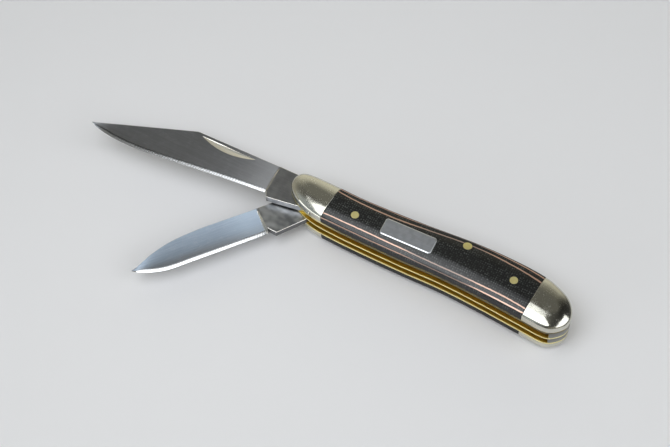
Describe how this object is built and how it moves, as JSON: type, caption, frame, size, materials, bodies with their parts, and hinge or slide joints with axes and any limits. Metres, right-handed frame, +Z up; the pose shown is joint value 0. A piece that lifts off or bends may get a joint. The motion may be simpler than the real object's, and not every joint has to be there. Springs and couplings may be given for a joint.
{
  "type": "folding pocket knife",
  "caption": "Folding jack knife with a clip blade and a pen blade hinged at one end, brass liners, domed metal bolsters, dark laminate scales and a small plain shield.",
  "frame": {"origin": "on the blades' pivot axis, on the plane that the knife lies on with its pile side down", "axes": "+X along the handle to the butt, +Y to the back with the springs, +Z up through the layers to the mark side with the shield"},
  "size_m": [0.1244, 0.0461, 0.0117],
  "materials": {
    "nickel_silver": "polished nickel silver",
    "laminate": "buffed canvas laminate, near black, with thin copper-pink layer lines",
    "brass": "satin faces, bright edges",
    "spring_steel": "satin",
    "satin_steel": "satin faces, polished edge bevels and nail nicks"
  },
  "bodies": {
    "handle": {"front_bolster_mark": "nickel_silver", "rear_bolster_mark": "nickel_silver", "front_bolster_pile": "nickel_silver", "rear_bolster_pile": "nickel_silver", "pivot_pin": "nickel_silver", "rear_spring_pin": "nickel_silver", "shield": "nickel_silver", "scale_mark": "laminate", "scale_pile": "laminate", "liner_mark": "brass", "liner_centre": "brass", "liner_pile": "brass", "middle_spring_pin": "brass", "front_scale_pin_mark": "brass", "rear_scale_pin_mark": "brass", "front_scale_pin_pile": "brass", "rear_scale_pin_pile": "brass", "clip_spring": "spring_steel", "pen_spring": "spring_steel"},
    "clip": {"clip_blade": "satin_steel"},
    "pen": {"pen_blade": "satin_steel"}
  },
  "joints": [
    {"name": "clip_blade_hinge", "type": "hinge", "parent": "handle", "child": "clip", "pos_m": [0, 0, 0.00705], "axis": [0, 0, 1], "range_deg": [0, 171.7]},
    {"name": "pen_blade_hinge", "type": "hinge", "parent": "handle", "child": "pen", "pos_m": [0, 0, 0.0046], "axis": [0, 0, 1], "range_deg": [-50.5, 125.8]}
  ]
}
